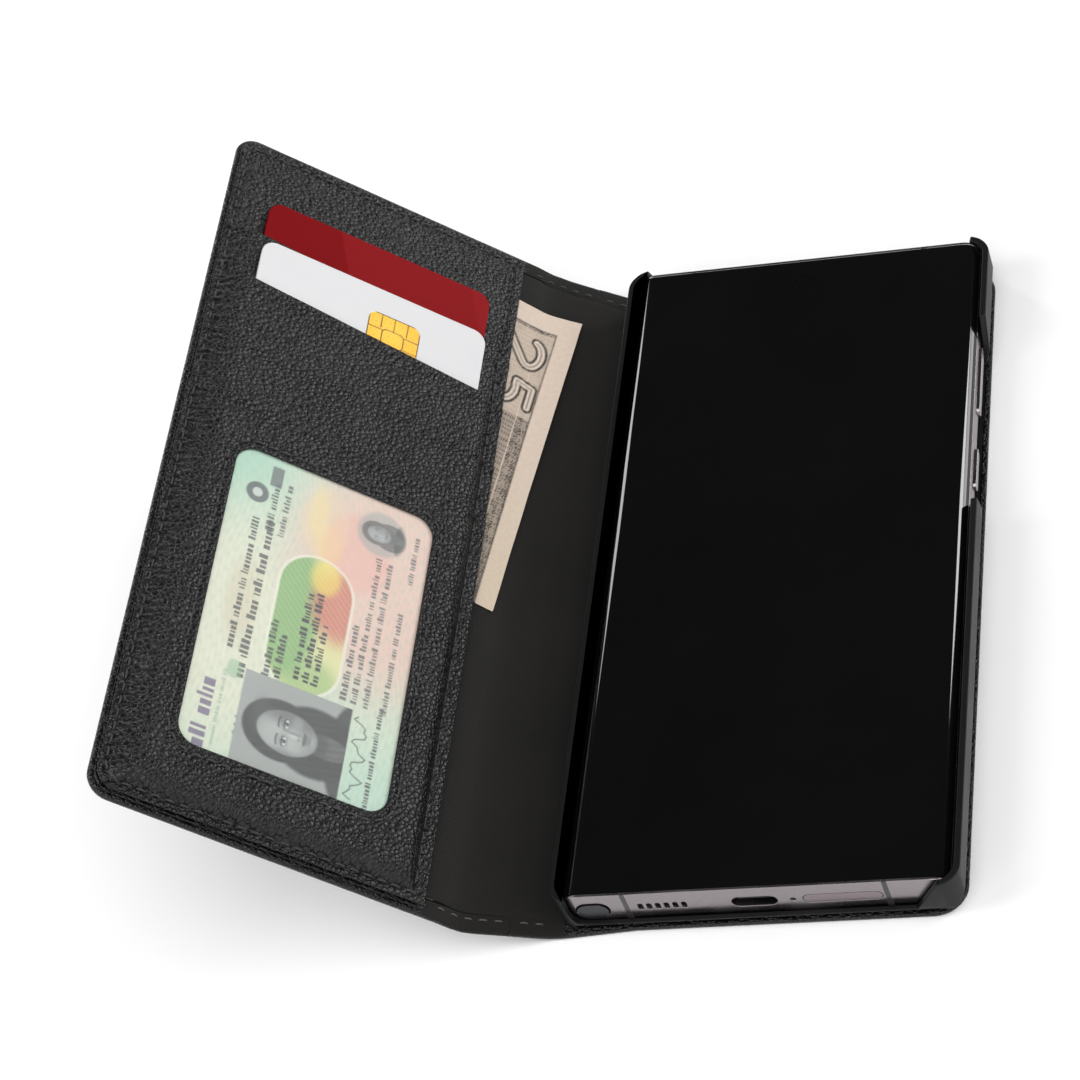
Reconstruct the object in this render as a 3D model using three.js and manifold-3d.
// Folio wallet case for a large slab phone, lying open on its back with the wallet flap raised.
// Millimetres, +X to the right of the screen, +Y to the phone's top, +Z up.
// Origin: on the underside of the back leather, on the phone's centreline, halfway up the phone.
import * as THREE from 'three';
import { mergeVertices } from 'three/addons/utils/BufferGeometryUtils.js';
import Module from 'manifold-3d';

const wasm = await Module();
wasm.setup();

// ---------------------------------------------------------------- driving dimensions
const GAP = 0.08; // running gap between stacked sheets
const FIT = 0.1; // gap round a piece seated in a pocket
const LEATHER = 0.8; // outer leather
const LINING = 0.2; // lining of the back and the spine

const PHONE_W = 77.9;
const PHONE_L = 163.3;
const PHONE_T = 8.9;
const PHONE_EDGE_R = 4.37; // rounding of the phone's long edges in section
const PHONE_CORNER_R = 3.6; // rounding of the phone's corners seen from above
const GLASS_T = 0.7;
const GLASS_HALF_L = 80.9;

const TRAY_FLOOR_Z = 1.2; // underside of the tray
const TRAY_FLOOR = 1.2;
const TRAY_WALL = 1.4;
const TRAY_CLEAR = 0.2; // gap between the phone and the tray's walls
const TRAY_TOP_Z = 11.5;
const TRAY_BASE_R = 5.2; // rounding under the long sides
const TRAY_END_R = 3.4; // rounding under the ends
const PHONE_Z = TRAY_FLOOR_Z + TRAY_FLOOR + FIT; // underside of the phone

const HALF_L_BACK = 84.2; // half length of the leather at the back's fold
const HALF_L_SIDE = 82.9; // half length of the leather under the tray
const TAPER_X = -25; // where the back's leather has narrowed to that
const BACK_EDGE_X = 40.2;
const BACK_CORNER_R = 6.5;
const HALF_L_FLAP = 86.5; // half length of the flap
const FOLD_X = -41.7; // fold between the back and the spine
const FOLD_Z = LEATHER / 2;
const SPINE_W = 18.4; // fold to fold
const FLAP_W = 80.8; // spine fold to the flap's outer edge
const SPINE_ANGLE = 25; // degrees above the table
const FLAP_ANGLE = 44; // degrees above the table

const BOARD = 0.52;
const FLAP_LINING = 0.15;
const NOTE_T = 0.2;
const POCKET_T = 0.4; // pared leather of the pocket layers
const CARD_T = 0.76;
const CARD_W = 53.98;
const CARD_L = 85.6;
const CARD_R = 3.18;
const FILM_T = 0.1;

const POCKET_W = 71; // flap's outer edge to the pockets' open edge
const MOUTHS = [60.4, 46.8, 30.6, 15.0]; // height of each pocket mouth at the outer edge
const MOUTH_SLOPE = -5.5 / 70; // the mouths fall towards the spine
const TUCK = 4; // how far each layer reaches below the next mouth
const CARD_U = 36.85; // centre line of the cards, from the flap's outer edge
const RED_TOP = 70.2;
const WHITE_TOP = 58;
const ID_TOP = 6.2;
const WINDOW = { u0: 13.6, u1: 58.5, v0: -71.8, v1: 1.2, r: 4.5 };

const FAR = 100; // past every part of the case, for cutters
const CURVE = 10; // segments in a quarter round
const SMALL_CURVE = 4; // the same, in the smallest holes

// ---------------------------------------------------------------- solids
function solidOf(geometry) {
  const bare = geometry.clone();
  bare.deleteAttribute('normal');
  bare.deleteAttribute('uv');
  const merged = mergeVertices(bare, 1e-5);
  return new wasm.Manifold(new wasm.Mesh({
    numProp: 3,
    vertProperties: new Float32Array(merged.attributes.position.array),
    triVerts: new Uint32Array(merged.index.array),
  }));
}

function geometryOf(solid) {
  const mesh = solid.getMesh();
  const geometry = new THREE.BufferGeometry();
  geometry.setAttribute('position', new THREE.BufferAttribute(mesh.vertProperties, 3));
  geometry.setIndex(new THREE.BufferAttribute(mesh.triVerts, 1));
  geometry.computeVertexNormals();
  return geometry;
}

// A plate with the outline in X and Y, from z0 up to z1.
function plate(shape, z0, z1) {
  const geometry = new THREE.ExtrudeGeometry(shape, {
    depth: z1 - z0, bevelEnabled: false, curveSegments: CURVE,
  });
  return geometry.translate(0, 0, z0);
}

// A bar along Y, its section drawn in X and Z.
function barY(shape, y0, y1, curveSegments = CURVE) {
  const geometry = new THREE.ExtrudeGeometry(shape, { depth: y1 - y0, bevelEnabled: false, curveSegments });
  return geometry.rotateX(Math.PI / 2).translate(0, y1, 0);
}

// A bar along X, its section drawn in Y and Z.
function barX(shape, x0, x1) {
  const geometry = new THREE.ExtrudeGeometry(shape, {
    depth: x1 - x0, bevelEnabled: false, curveSegments: CURVE,
  });
  return geometry.rotateX(Math.PI / 2).rotateZ(Math.PI / 2).translate(x0, 0, 0);
}

function box(x0, x1, y0, y1, z0, z1) {
  return new THREE.BoxGeometry(x1 - x0, y1 - y0, z1 - z0)
    .translate((x0 + x1) / 2, (y0 + y1) / 2, (z0 + z1) / 2);
}

// A rectangle from (a0, b0) to (a1, b1); radii go lower-left, lower-right, upper-right, upper-left.
function roundedRect(a0, a1, b0, b1, radii) {
  const [ll, lr, ur, ul] = Array.isArray(radii) ? radii : [radii, radii, radii, radii];
  const shape = new THREE.Shape();
  shape.moveTo(a0 + ll, b0);
  shape.lineTo(a1 - lr, b0);
  if (lr) shape.absarc(a1 - lr, b0 + lr, lr, -Math.PI / 2, 0);
  shape.lineTo(a1, b1 - ur);
  if (ur) shape.absarc(a1 - ur, b1 - ur, ur, 0, Math.PI / 2);
  shape.lineTo(a0 + ul, b1);
  if (ul) shape.absarc(a0 + ul, b1 - ul, ul, Math.PI / 2, Math.PI);
  shape.lineTo(a0, b0 + ll);
  if (ll) shape.absarc(a0 + ll, b0 + ll, ll, Math.PI, 1.5 * Math.PI);
  return shape;
}

// Everything between two heights.
function slab(z0, z1) {
  return solidOf(box(-FAR, FAR, -FAR, FAR, z0, z1));
}

function polygon(points) {
  return new THREE.Shape(points.map(([a, b]) => new THREE.Vector2(a, b)));
}

function part(parent, name, geometry, look) {
  const mesh = new THREE.Mesh(geometry, new THREE.MeshStandardMaterial(look));
  mesh.name = name;
  parent.add(mesh);
  return mesh;
}

const LOOK = {
  leather: { color: 0x1b1b1c, roughness: 0.62, metalness: 0 },
  lining: { color: 0x191715, roughness: 0.9, metalness: 0 },
  board: { color: 0x8a7f6e, roughness: 0.95, metalness: 0 },
  tray: { color: 0x141416, roughness: 0.45, metalness: 0 },
  frame: { color: 0x6d6566, roughness: 0.3, metalness: 1 },
  glass: { color: 0x030304, roughness: 0.05, metalness: 0 },
  lens: { color: 0x0a0c12, roughness: 0.08, metalness: 0 },
  black: { color: 0x0c0c0d, roughness: 0.5, metalness: 0 },
  red: { color: 0x8c1414, roughness: 0.4, metalness: 0 },
  white: { color: 0xe8e8e8, roughness: 0.35, metalness: 0 },
  gold: { color: 0xe0ab22, roughness: 0.3, metalness: 1 },
  film: { color: 0xf4f6f6, roughness: 0.1, metalness: 0 },
  id: { color: 0xcfe3d2, roughness: 0.35, metalness: 0 },
  note: { color: 0xdccdb8, roughness: 0.9, metalness: 0 },
};

// ---------------------------------------------------------------- the phone
// Section of the phone's body, grown by `grow` all round.
function bodySection(grow) {
  const half = PHONE_W / 2 + grow;
  return roundedRect(-half, half, PHONE_Z - grow, PHONE_Z + PHONE_T + grow, PHONE_EDGE_R + grow);
}

// The phone's body cut to a half length, with its corners rounded, as a solid.
function bodySolid(grow, halfL, cornerR) {
  const half = PHONE_W / 2 + grow;
  const plan = roundedRect(-half, half, -halfL, halfL, cornerR);
  return solidOf(barY(bodySection(grow), -halfL, halfL)).intersect(
    solidOf(plate(plan, PHONE_Z - grow - 1, PHONE_Z + PHONE_T + grow + 1)),
  );
}

// A skin of the body between two depths, above or below a level.
function skin(depth, halfL, z0, z1) {
  return bodySolid(0, halfL, PHONE_CORNER_R)
    .subtract(bodySolid(-depth, halfL + 1, PHONE_CORNER_R))
    .intersect(slab(z0, z1));
}

const PHONE_TOP_Z = PHONE_Z + PHONE_T;
const FRAME_BAND = 2.2; // height at which each glass gives way to the metal, from its own face
const GLASS_LOW_Z = PHONE_TOP_Z - FRAME_BAND;
const REAR_HIGH_Z = PHONE_Z + FRAME_BAND;
const END = PHONE_L / 2;
const PORT_Z = PHONE_Z + 4.4; // height of the ports along the bottom face
const BORE_END = -END - 1; // bores start 1 mm outside the bottom face

const STYLUS = { x: -32.4, z: PHONE_Z + 3.9, w: 6.4, h: 4.3, length: 105 };
const USB = { w: 9, h: 3.2, depth: 8, tongueW: 6.7, tongueH: 0.7 };
const TRAY_SLOT = { x0: 9.6, x1: 25, h: 2.6, depth: 17 };
const SPEAKER = { x0: -23.2, pitch: 1.75, count: 6, w: 1, h: 2.1, depth: 2 };
const MIC = { x: 7.6, r: 0.55, depth: 3 };
const KEYS = [
  { name: 'volume_rocker', y0: 35.6, y1: 54 },
  { name: 'power_button', y0: 15.4, y1: 26 },
];
const KEY_H = 2.2;
const KEY_DEPTH = 1.9; // how deep a key sits in the frame
const KEY_PROUD = 0.5;
const KEY_TRAVEL = 0.3;
const KEY_Z = PHONE_Z + PHONE_T / 2;
const PUNCH = { x: 0, y: 75, r: 1.75 };
const LENSES = [
  { name: 'rear_lens_upper', x: 27, y: 70, r: 6.2 },
  { name: 'rear_lens_middle', x: 27, y: 53.5, r: 6.2 },
  { name: 'rear_lens_lower', x: 27, y: 37, r: 6.2 },
  { name: 'rear_lens_side', x: 12.6, y: 61.5, r: 4.2 },
  { name: 'rear_flash', x: 12.6, y: 48.5, r: 2.6 },
];
const LENS_PROUD = 1.1;
const LENS_DEEP = 1.2;
const CUTOUT = { x0: 5, x1: 35.6, y0: 28.5, y1: 78.6, r: 8.5 }; // camera window in the case's back

function stadium(a0, a1, b0, b1) {
  return roundedRect(a0, a1, b0, b1, Math.min(a1 - a0, b1 - b0) / 2 - 0.001);
}

function disc(x, y, r, z0, z1, segments = 24) {
  return new THREE.CylinderGeometry(r, r, z1 - z0, segments)
    .rotateX(Math.PI / 2).translate(x, y, (z0 + z1) / 2);
}

function stylusSection(grow) {
  return stadium(
    STYLUS.x - STYLUS.w / 2 - grow, STYLUS.x + STYLUS.w / 2 + grow,
    STYLUS.z - STYLUS.h / 2 - grow, STYLUS.z + STYLUS.h / 2 + grow,
  );
}

function simSection(grow) {
  return stadium(
    TRAY_SLOT.x0 - grow, TRAY_SLOT.x1 + grow,
    PORT_Z - TRAY_SLOT.h / 2 - grow, PORT_Z + TRAY_SLOT.h / 2 + grow,
  );
}

function keySection(key, grow) {
  return stadium(key.y0 - grow, key.y1 + grow, KEY_Z - KEY_H / 2 - grow, KEY_Z + KEY_H / 2 + grow);
}

function buildPhone(parent) {
  let frame = bodySolid(0, END, PHONE_CORNER_R);
  const cut = (geometry) => { frame = frame.subtract(solidOf(geometry)); };
  const pocketHalf = GLASS_HALF_L + FIT;
  frame = frame.subtract(
    bodySolid(1, pocketHalf, PHONE_CORNER_R)
      .subtract(bodySolid(-GLASS_T - FIT, pocketHalf + 1, PHONE_CORNER_R))
      .intersect(slab(GLASS_LOW_Z - FIT, FAR).add(slab(0, REAR_HIGH_Z + FIT))),
  );
  cut(barY(stylusSection(0.25), BORE_END, -END + STYLUS.length + 0.5));
  cut(barY(simSection(FIT), BORE_END, -END + TRAY_SLOT.depth + 0.5));
  cut(barY(stadium(-USB.w / 2, USB.w / 2, PORT_Z - USB.h / 2, PORT_Z + USB.h / 2), BORE_END, -END + USB.depth));
  for (let i = 0; i < SPEAKER.count; i += 1) {
    const x = SPEAKER.x0 + i * SPEAKER.pitch;
    cut(barY(stadium(x, x + SPEAKER.w, PORT_Z - SPEAKER.h / 2, PORT_Z + SPEAKER.h / 2),
      BORE_END, -END + SPEAKER.depth, SMALL_CURVE));
  }
  cut(barY(stadium(MIC.x - MIC.r, MIC.x + MIC.r, PORT_Z - MIC.r - 0.01, PORT_Z + MIC.r + 0.01),
    BORE_END, -END + MIC.depth, SMALL_CURVE));
  for (const key of KEYS) {
    cut(barX(keySection(key, FIT), PHONE_W / 2 - KEY_DEPTH - KEY_TRAVEL - FIT, PHONE_W / 2 + 1));
  }
  for (const lens of LENSES) cut(disc(lens.x, lens.y, lens.r + FIT, 0, PHONE_Z + LENS_DEEP + FIT));
  cut(disc(PUNCH.x, PUNCH.y, PUNCH.r + FIT, PHONE_TOP_Z - 2, PHONE_TOP_Z + 1));
  part(parent, 'phone_frame', geometryOf(frame), LOOK.frame);

  let front = skin(GLASS_T, GLASS_HALF_L, GLASS_LOW_Z, PHONE_TOP_Z + 1);
  front = front.subtract(solidOf(disc(PUNCH.x, PUNCH.y, PUNCH.r + FIT, PHONE_TOP_Z - 2, PHONE_TOP_Z + 1)));
  part(parent, 'display_glass', geometryOf(front), LOOK.glass);
  part(parent, 'front_camera', disc(PUNCH.x, PUNCH.y, PUNCH.r, PHONE_TOP_Z - 1.8, PHONE_TOP_Z - 0.05), LOOK.lens);

  let rear = skin(GLASS_T, GLASS_HALF_L, PHONE_Z - 1, REAR_HIGH_Z);
  for (const lens of LENSES) {
    rear = rear.subtract(solidOf(disc(lens.x, lens.y, lens.r + FIT, 0, PHONE_Z + 3)));
  }
  part(parent, 'rear_glass', geometryOf(rear), LOOK.glass);
  for (const lens of LENSES) {
    // A raised ring round a sunken lens face.
    const ring = 0.22 * lens.r;
    const profile = [[0, 0.35], [lens.r - ring, 0.35], [lens.r - ring, 0], [lens.r, 0],
      [lens.r, LENS_PROUD + LENS_DEEP], [0, LENS_PROUD + LENS_DEEP]];
    const lathe = new THREE.LatheGeometry(profile.map(([r, z]) => new THREE.Vector2(r, z)), 24);
    part(parent, lens.name, lathe.rotateX(Math.PI / 2).translate(lens.x, lens.y, PHONE_Z - LENS_PROUD), LOOK.lens);
  }

  for (const key of KEYS) {
    part(parent, key.name, barX(keySection(key, 0), PHONE_W / 2 - KEY_DEPTH, PHONE_W / 2 + KEY_PROUD), LOOK.frame);
  }
  part(parent, 'stylus', barY(stylusSection(0), -END - 0.3, -END + STYLUS.length), LOOK.frame);
  part(parent, 'sim_tray', barY(simSection(0), -END, -END + TRAY_SLOT.depth), LOOK.frame);
  part(parent, 'usb_tongue',
    box(-USB.tongueW / 2, USB.tongueW / 2, -END + 1, -END + USB.depth - FIT,
      PORT_Z - USB.tongueH / 2, PORT_Z + USB.tongueH / 2), LOOK.black);
}

// ---------------------------------------------------------------- the tray that the phone snaps into
const SILL_Z = PHONE_Z + 0.9; // bottom of the tray's openings
const OVER_Z = TRAY_TOP_Z + 0.5; // where the cutters for them end
// Each opening's two sides, at the sill and above the rim.
const TOP_OPENING = { sill: [-33.5, 33.5], rim: [-36.6, 36.6] };
const PORT_OPENING = { sill: [-32.6, 31], rim: [-37.2, 36.4] };
const KEY_OPENING = { sill: [12.2, 53], rim: [9.6, 60] };

function opening({ sill, rim }) {
  return polygon([[sill[0], SILL_Z], [sill[1], SILL_Z], [rim[1], OVER_Z], [rim[0], OVER_Z]]);
}

// The opening for the ports, rounded at the left to follow the stylus's end.
function portOpening() {
  const { sill, rim } = PORT_OPENING;
  const shape = new THREE.Shape();
  shape.moveTo(sill[0], SILL_Z);
  shape.lineTo(sill[1], SILL_Z);
  shape.lineTo(rim[1], OVER_Z);
  shape.lineTo(rim[0], OVER_Z);
  shape.lineTo(rim[0], STYLUS.z + 1.3);
  shape.quadraticCurveTo(rim[0], SILL_Z, sill[0], SILL_Z);
  return shape;
}

function buildTray(parent) {
  const halfW = PHONE_W / 2 + TRAY_CLEAR + TRAY_WALL;
  const halfL = END + TRAY_CLEAR + TRAY_WALL;
  const section = roundedRect(-halfW, halfW, TRAY_FLOOR_Z, TRAY_TOP_Z, [TRAY_BASE_R, TRAY_BASE_R, 0, 0]);
  const side = roundedRect(-halfL, halfL, TRAY_FLOOR_Z, TRAY_TOP_Z, [TRAY_END_R, TRAY_END_R, 0, 0]);
  const plan = roundedRect(-halfW, halfW, -halfL, halfL, PHONE_CORNER_R + TRAY_WALL + TRAY_CLEAR);
  let tray = solidOf(barY(section, -halfL, halfL))
    .intersect(solidOf(barX(side, -halfW, halfW)))
    .intersect(solidOf(plate(plan, 0, FAR)));

  // The phone's space: its own round lower edges, then straight up.
  const inW = PHONE_W / 2 + TRAY_CLEAR;
  const inL = END + TRAY_CLEAR;
  const inR = PHONE_EDGE_R + TRAY_CLEAR;
  const floor = TRAY_FLOOR_Z + TRAY_FLOOR;
  tray = tray.subtract(
    solidOf(barY(roundedRect(-inW, inW, floor, FAR, [inR, inR, 0, 0]), -inL, inL))
      .intersect(solidOf(plate(roundedRect(-inW, inW, -inL, inL, PHONE_CORNER_R + TRAY_CLEAR), 0, FAR))),
  );

  // Openings at the top, at the ports and beside the keys, then the camera window.
  const inside = 5; // how far the cutters start inside the phone's outline
  tray = tray.subtract(solidOf(barY(opening(TOP_OPENING), END - inside, FAR)));
  tray = tray.subtract(solidOf(barY(portOpening(), -FAR, -END + inside)));
  tray = tray.subtract(solidOf(barX(opening(KEY_OPENING), PHONE_W / 2 - inside / 2, FAR)));
  tray = tray.subtract(solidOf(plate(
    roundedRect(CUTOUT.x0, CUTOUT.x1, CUTOUT.y0, CUTOUT.y1, CUTOUT.r), 0, PHONE_Z)));
  part(parent, 'phone_tray', geometryOf(tray), LOOK.tray);
}

// ---------------------------------------------------------------- back leather and lining
function backOutline(inset, hingeGap) {
  const x0 = FOLD_X + hingeGap;
  const x1 = BACK_EDGE_X - inset;
  const near = HALF_L_BACK - inset;
  const far = HALF_L_SIDE - inset;
  const r = BACK_CORNER_R;
  const lip = 0.3; // the leather's window is this much wider than the tray's all round
  const shape = new THREE.Shape();
  shape.moveTo(x0, -near);
  shape.lineTo(TAPER_X, -far);
  shape.lineTo(x1 - r, -far);
  shape.absarc(x1 - r, -far + r, r, -Math.PI / 2, 0);
  shape.absarc(x1 - r, far - r, r, 0, Math.PI / 2);
  shape.lineTo(TAPER_X, far);
  shape.lineTo(x0, near);
  shape.holes.push(roundedRect(
    CUTOUT.x0 - lip, CUTOUT.x1 + lip, CUTOUT.y0 - lip, CUTOUT.y1 + lip, CUTOUT.r,
  ));
  return shape;
}

function buildBack(parent) {
  part(parent, 'back_leather', plate(backOutline(0, 0.55), 0, LEATHER), LOOK.leather);
  const z0 = LEATHER + GAP;
  part(parent, 'back_lining', plate(backOutline(0.6, 1.4), z0, z0 + LINING), LOOK.lining);
}

// ---------------------------------------------------------------- spine
// Local frame: x runs back to the fold at the back, z is the inner side, origin in mid leather.
function spinePlan(inset, x0, x1) {
  const at = (x) => HALF_L_BACK + (HALF_L_FLAP - HALF_L_BACK) * (-x / SPINE_W) - inset;
  return polygon([[x0, -at(x0)], [x1, -at(x1)], [x1, at(x1)], [x0, at(x0)]]);
}

function buildSpine(parent) {
  const t = LEATHER / 2;
  const section = stadium(-SPINE_W - t, t, -t, t);
  const leather = solidOf(barY(section, -FAR, FAR))
    .intersect(solidOf(plate(spinePlan(0, -SPINE_W - t, t), -LEATHER, LEATHER)));
  part(parent, 'spine_leather', geometryOf(leather), LOOK.leather);
  part(parent, 'spine_lining',
    plate(spinePlan(0.6, -SPINE_W + 1.2, -1.2), t + GAP, t + GAP + LINING), LOOK.lining);
}

// ---------------------------------------------------------------- flap
// Local frame: x from the outer edge towards the spine, y up the flap, z from the outer face inwards.
const LEVEL = {};
LEVEL.board = LEATHER + GAP;
LEVEL.lining = LEVEL.board + BOARD + GAP;
LEVEL.note = LEVEL.lining + FLAP_LINING + GAP;
LEVEL.pocket = LEVEL.note + NOTE_T + GAP;
LEVEL.red = LEVEL.pocket + POCKET_T + GAP;
LEVEL.layer1 = LEVEL.red + CARD_T + GAP;
LEVEL.white = LEVEL.layer1 + POCKET_T + GAP;
LEVEL.layer2 = LEVEL.white + CARD_T + GAP;
LEVEL.layer3 = LEVEL.layer2 + POCKET_T + GAP;
LEVEL.id = LEVEL.layer3 + POCKET_T + GAP;
LEVEL.film = LEVEL.id + CARD_T + GAP;
LEVEL.window = LEVEL.film + FILM_T + GAP;

function sheet(parent, name, shape, level, thickness, look) {
  return part(parent, name, plate(shape, level, level + thickness), look);
}

function mouthAt(height, u) {
  return height + MOUTH_SLOPE * u;
}

// A pocket layer from its mouth down to a little below the next one.
function layerOutline(top, bottom) {
  const u0 = 1.2;
  return polygon([
    [u0, mouthAt(bottom, u0)], [POCKET_W, mouthAt(bottom, POCKET_W)],
    [POCKET_W, mouthAt(top, POCKET_W)], [u0, mouthAt(top, u0)],
  ]);
}

function cardOutline(top) {
  return roundedRect(CARD_U - CARD_W / 2, CARD_U + CARD_W / 2, top - CARD_L, top, CARD_R);
}

// A bank note folded once across, its open side leaning out past the pockets and over the spine's fold.
function buildNote(parent) {
  const leaf = 83.8; // longer leaf of the uneven fold
  const width = 66.3;
  const lean = THREE.MathUtils.degToRad(6.6);
  const corner = { u: 85.9, v: 72.4 }; // its top corner over the spine
  const bendU = FLAP_W - 3.8; // where it starts to lift off the lining
  const rise = Math.tan(THREE.MathUtils.degToRad(21));
  const reach = 12; // past the note's furthest corner
  const z = LEVEL.note;
  const section = polygon([
    [0, z], [bendU, z], [bendU + reach, z + reach * rise],
    [bendU + reach, z + reach * rise + NOTE_T], [bendU - 0.05, z + NOTE_T], [0, z + NOTE_T],
  ]);
  const outline = plate(roundedRect(-width, 0, -leaf, 0, 0.4), 0, FAR)
    .rotateZ(-lean).translate(corner.u, corner.v, 0);
  const note = solidOf(barY(section, -FAR, FAR)).intersect(solidOf(outline));
  part(parent, 'banknote', geometryOf(note), LOOK.note);
}

function buildFlap(parent) {
  const half = HALF_L_FLAP;
  const r = 5; // outer corners
  const foldR = 0.5; // corners at the spine
  const far = FLAP_W - 0.55;
  const rimTop = LEVEL.board + BOARD;
  const outer = roundedRect(0, far, -half, half, [r, foldR, foldR, r]);
  const turned = 2; // width of the leather turned over round the board
  const recess = roundedRect(turned, far - turned, -half + turned, half - turned, r - turned);
  const leather = solidOf(plate(outer, 0, rimTop)).subtract(solidOf(plate(recess, LEATHER, FAR)));
  part(parent, 'flap_leather', geometryOf(leather), LOOK.leather);
  const rim = turned + 0.2; // the board lies loose inside the turned edge
  sheet(parent, 'flap_board', roundedRect(rim, far - rim, -half + rim, half - rim, r - rim),
    LEVEL.board, BOARD, LOOK.board);
  sheet(parent, 'flap_lining', roundedRect(1, FLAP_W - 1.4, -half + 1, half - 1, [r - 1, foldR, foldR, r - 1]),
    LEVEL.lining, FLAP_LINING, LOOK.lining);
  buildNote(parent);
  sheet(parent, 'pocket_back', roundedRect(0.9, POCKET_W, -half + 0.9, half - 0.9, [r - 0.9, foldR, foldR, r - 0.9]),
    LEVEL.pocket, POCKET_T, LOOK.leather);

  sheet(parent, 'card_red', cardOutline(RED_TOP), LEVEL.red, CARD_T, LOOK.red);
  sheet(parent, 'slot_layer_1', layerOutline(MOUTHS[0], MOUTHS[1] - TUCK), LEVEL.layer1, POCKET_T, LOOK.leather);

  // The chip sits in a shallow recess milled in the white card.
  const chip = { u0: 36.2, u1: 48.6, v0: WHITE_TOP - 18, v1: WHITE_TOP - 6.6, r: 2.2, deep: 0.4 };
  const seat = roundedRect(chip.u0 - FIT, chip.u1 + FIT, chip.v0 - FIT, chip.v1 + FIT, chip.r + FIT);
  const face = LEVEL.white + CARD_T;
  const white = solidOf(plate(cardOutline(WHITE_TOP), LEVEL.white, face))
    .subtract(solidOf(plate(seat, face - chip.deep, face + 1)));
  part(parent, 'card_white', geometryOf(white), LOOK.white);
  sheet(parent, 'card_white_chip', roundedRect(chip.u0, chip.u1, chip.v0, chip.v1, chip.r),
    face - chip.deep + FIT, chip.deep - FIT, LOOK.gold);
  sheet(parent, 'slot_layer_2', layerOutline(MOUTHS[1], MOUTHS[2] - TUCK), LEVEL.layer2, POCKET_T, LOOK.leather);
  sheet(parent, 'slot_layer_3', layerOutline(MOUTHS[2], MOUTHS[3] - TUCK), LEVEL.layer3, POCKET_T, LOOK.leather);

  sheet(parent, 'id_card', cardOutline(ID_TOP), LEVEL.id, CARD_T, LOOK.id);
  const lap = 2.6; // how far the film reaches behind the window's edge
  sheet(parent, 'id_window_film',
    roundedRect(WINDOW.u0 - lap, WINDOW.u1 + lap, WINDOW.v0 - lap, WINDOW.v1 + lap, 2),
    LEVEL.film, FILM_T, LOOK.film);
  const panel = new THREE.Shape();
  const low = -half + 1;
  const rc = r - 1;
  panel.moveTo(1 + rc, low);
  panel.lineTo(POCKET_W, low);
  panel.lineTo(POCKET_W, mouthAt(MOUTHS[3], POCKET_W));
  panel.lineTo(1, mouthAt(MOUTHS[3], 1));
  panel.absarc(1 + rc, low + rc, rc, Math.PI, 1.5 * Math.PI);
  panel.holes.push(roundedRect(WINDOW.u0, WINDOW.u1, WINDOW.v0, WINDOW.v1, WINDOW.r));
  sheet(parent, 'id_window_panel', panel, LEVEL.window, POCKET_T, LOOK.leather);
}

// ---------------------------------------------------------------- assembly
const walletCase = new THREE.Group();
buildBack(walletCase);
buildTray(walletCase);
buildPhone(walletCase);

const spine = new THREE.Group();
spine.position.set(FOLD_X, 0, FOLD_Z);
spine.rotation.y = THREE.MathUtils.degToRad(SPINE_ANGLE);
walletCase.add(spine);
buildSpine(spine);

const flapHinge = new THREE.Group();
flapHinge.position.set(-SPINE_W, 0, 0);
flapHinge.rotation.y = THREE.MathUtils.degToRad(FLAP_ANGLE - SPINE_ANGLE);
spine.add(flapHinge);
const flap = new THREE.Group();
flap.position.set(-FLAP_W, 0, -LEATHER / 2);
flapHinge.add(flap);
buildFlap(flap);

export default walletCase;
